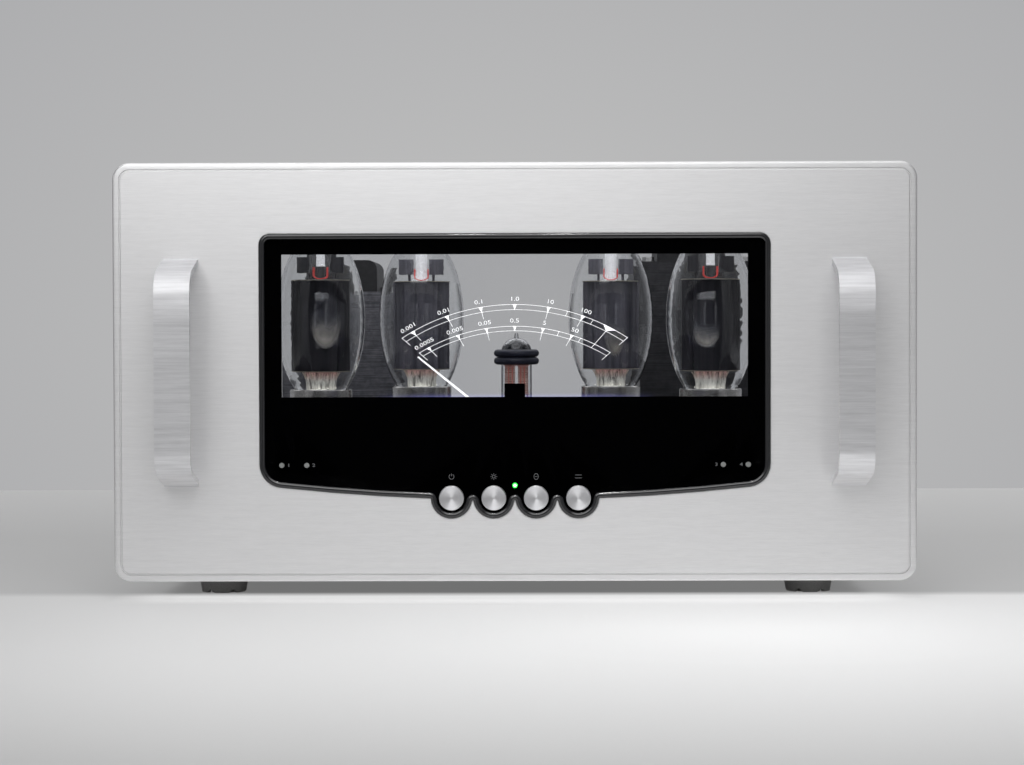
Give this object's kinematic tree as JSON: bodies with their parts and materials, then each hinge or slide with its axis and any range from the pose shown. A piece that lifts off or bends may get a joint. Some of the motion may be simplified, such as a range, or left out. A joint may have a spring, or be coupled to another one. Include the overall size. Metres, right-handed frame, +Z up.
{
  "type": "monoblock amplifier",
  "caption": "Vacuum-tube power amplifier with a brushed faceplate, strap handles, a see-through lit meter window, push buttons and a low chassis that carries tubes and transformers.",
  "frame": {"origin": "middle of the footprint on the floor, under the centre of the bounding box", "axes": "+X to the viewer's right, -Y out of the front, +Z up"},
  "size_m": [0.4826, 0.527, 0.2636],
  "materials": {
    "brushed_aluminium": "fine horizontal brushing, clear anodised",
    "black_bezel": "satin black",
    "clear_glass": "polished",
    "black_print": "gloss black behind glass",
    "clear_acrylic": "clear",
    "dark_sheet": "satin powder coat",
    "zinc_screw": "plated",
    "white_needle": "white lacquer",
    "movement_case": "matte",
    "spun_aluminium": "turned, concentric lines",
    "switch_body": "matte",
    "circuit_board": "solder mask",
    "green_lamp": "lit light pipe",
    "pale_lamp": "unlit light pipe",
    "foot_rubber": "matte",
    "ceramic": "glazed",
    "tube_base": "moulded with a bright ring",
    "tube_glass": "blown",
    "dark_anode": "carbonised nickel",
    "damper_rubber": "satin",
    "core_iron": "varnished laminations",
    "coil_wrap": "copper winding under black wrap",
    "capacitor_sleeve": "shrink sleeve",
    "black_connector": "moulded",
    "nickel": "bright plated",
    "gold_plate": "gold plated"
  },
  "bodies": {
    "amplifier": {"faceplate": "brushed_aluminium", "handle_left": "brushed_aluminium", "handle_right": "brushed_aluminium", "front_screws": "zinc_screw", "case_screws": "zinc_screw", "core_bolts": "zinc_screw", "window_bezel": "black_bezel", "window_glass": "clear_glass", "glass_mask": "black_print", "clamp_frame": "dark_sheet", "chassis_shell": "dark_sheet", "bottom_plate": "dark_sheet", "scale_plate": "clear_acrylic", "meter_movement": "movement_case", "button_switches": "switch_body", "control_board": "circuit_board", "main_board": "circuit_board", "power_lamp": "green_lamp", "tube_lamps": "pale_lamp", "feet": "foot_rubber", "tube_sockets": "ceramic", "driver_socket": "ceramic", "tube_1_base": "tube_base", "tube_1_bulb": "tube_glass", "tube_1_electrodes": "dark_anode", "tube_2_base": "tube_base", "tube_2_bulb": "tube_glass", "tube_2_electrodes": "dark_anode", "tube_3_base": "tube_base", "tube_3_bulb": "tube_glass", "tube_3_electrodes": "dark_anode", "tube_4_base": "tube_base", "tube_4_bulb": "tube_glass", "tube_4_electrodes": "dark_anode", "driver_bulb": "tube_glass", "driver_electrodes": "dark_anode", "tube_damper": "damper_rubber", "power_core": "core_iron", "output_core": "core_iron", "power_coil": "coil_wrap", "output_coil": "coil_wrap", "filter_capacitors": "capacitor_sleeve", "mains_inlet": "black_connector", "fuse_holder": "black_connector", "trigger_socket": "black_connector", "balanced_input": "nickel", "input_switch": "nickel", "phono_input": "gold_plate", "speaker_posts": "gold_plate"},
    "power_button": {"power_button": "spun_aluminium"},
    "light_button": {"light_button": "spun_aluminium"},
    "monitor_button": {"monitor_button": "spun_aluminium"},
    "mode_button": {"mode_button": "spun_aluminium"},
    "needle": {"meter_pointer": "white_needle"},
    "fuse_cap": {"fuse_cap": "black_connector"},
    "switch_lever": {"switch_lever": "nickel"},
    "post_nut_1": {"post_nut_1": "black_connector"},
    "post_nut_2": {"post_nut_2": "black_connector"},
    "post_nut_3": {"post_nut_3": "black_connector"},
    "post_nut_4": {"post_nut_4": "black_connector"}
  },
  "joints": [
    {"name": "power_button_press", "type": "slide", "parent": "amplifier", "child": "power_button", "axis": [0, 1, 0], "range_m": [0, 0.002], "stiffness_N_per_m": 600},
    {"name": "light_button_press", "type": "slide", "parent": "amplifier", "child": "light_button", "axis": [0, 1, 0], "range_m": [0, 0.002], "stiffness_N_per_m": 600},
    {"name": "monitor_button_press", "type": "slide", "parent": "amplifier", "child": "monitor_button", "axis": [0, 1, 0], "range_m": [0, 0.002], "stiffness_N_per_m": 600},
    {"name": "mode_button_press", "type": "slide", "parent": "amplifier", "child": "mode_button", "axis": [0, 1, 0], "range_m": [0, 0.002], "stiffness_N_per_m": 600},
    {"name": "needle_swing", "type": "hinge", "parent": "amplifier", "child": "needle", "pos_m": [0, -0.2173, 0.0997], "axis": [0, 1, 0], "range_deg": [0, 102], "stiffness_Nm_per_rad": 0.0004, "springref_deg": -22.92},
    {"name": "fuse_cap_turn", "type": "hinge", "parent": "amplifier", "child": "fuse_cap", "pos_m": [-0.118, 0.2335, 0.0578], "axis": [0, 1, 0], "range_deg": [0, 45]},
    {"name": "input_select", "type": "hinge", "parent": "amplifier", "child": "switch_lever", "pos_m": [-0.038, 0.2305, 0.0578], "axis": [-1, 0, 0], "range_deg": [0, 26]},
    {"name": "post_nut_1_turn", "type": "hinge", "parent": "amplifier", "child": "post_nut_1", "pos_m": [0.072, 0.2475, 0.0578], "axis": [0, 1, 0], "continuous": true},
    {"name": "post_nut_2_turn", "type": "hinge", "parent": "amplifier", "child": "post_nut_2", "pos_m": [0.102, 0.2475, 0.0578], "axis": [0, 1, 0], "continuous": true},
    {"name": "post_nut_3_turn", "type": "hinge", "parent": "amplifier", "child": "post_nut_3", "pos_m": [0.132, 0.2475, 0.0578], "axis": [0, 1, 0], "continuous": true},
    {"name": "post_nut_4_turn", "type": "hinge", "parent": "amplifier", "child": "post_nut_4", "pos_m": [0.162, 0.2475, 0.0578], "axis": [0, 1, 0], "continuous": true}
  ]
}
